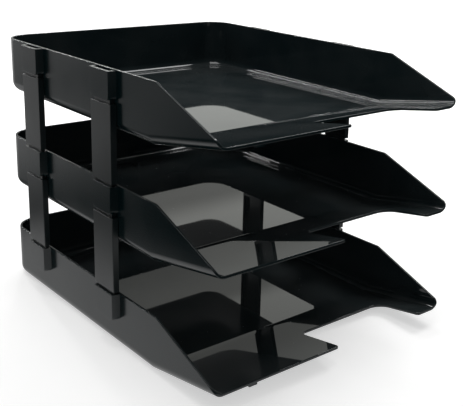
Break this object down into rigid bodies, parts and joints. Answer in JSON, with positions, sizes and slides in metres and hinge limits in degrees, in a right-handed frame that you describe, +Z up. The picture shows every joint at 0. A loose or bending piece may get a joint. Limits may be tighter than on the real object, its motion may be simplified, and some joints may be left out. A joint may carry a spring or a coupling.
{
  "type": "letter tray stack",
  "caption": "Stackable desk letter trays with sloped open fronts and off-centre finger notches, carried on plug-in side risers.",
  "frame": {"origin": "middle of the footprint, on the surface the lowest tray stands on", "axes": "+X across the trays to the right, +Y towards the closed rear wall, +Z up; the open sloped front faces -Y"},
  "size_m": [0.2782, 0.35, 0.2454],
  "materials": {
    "tray_plastic": "black moulded polystyrene, polished inside and satin outside",
    "riser_plastic": "black moulded polystyrene, satin"
  },
  "bodies": {
    "bottom_tray": {"tray_bottom": "tray_plastic"},
    "lower_risers": {"riser_lower_left_front": "riser_plastic", "riser_lower_left_rear": "riser_plastic", "riser_lower_right_front": "riser_plastic", "riser_lower_right_rear": "riser_plastic"},
    "middle_tray": {"tray_middle": "tray_plastic"},
    "upper_risers": {"riser_upper_left_front": "riser_plastic", "riser_upper_left_rear": "riser_plastic", "riser_upper_right_front": "riser_plastic", "riser_upper_right_rear": "riser_plastic"},
    "top_tray": {"tray_top": "tray_plastic"}
  },
  "joints": [
    {"name": "lower_risers_lift", "type": "slide", "parent": "bottom_tray", "child": "lower_risers", "axis": [0, 0, 1], "range_m": [0, 0.03]},
    {"name": "middle_tray_lift", "type": "slide", "parent": "lower_risers", "child": "middle_tray", "axis": [0, 0, 1], "range_m": [0, 0.03]},
    {"name": "upper_risers_lift", "type": "slide", "parent": "middle_tray", "child": "upper_risers", "axis": [0, 0, 1], "range_m": [0, 0.03]},
    {"name": "top_tray_lift", "type": "slide", "parent": "upper_risers", "child": "top_tray", "axis": [0, 0, 1], "range_m": [0, 0.03]}
  ]
}
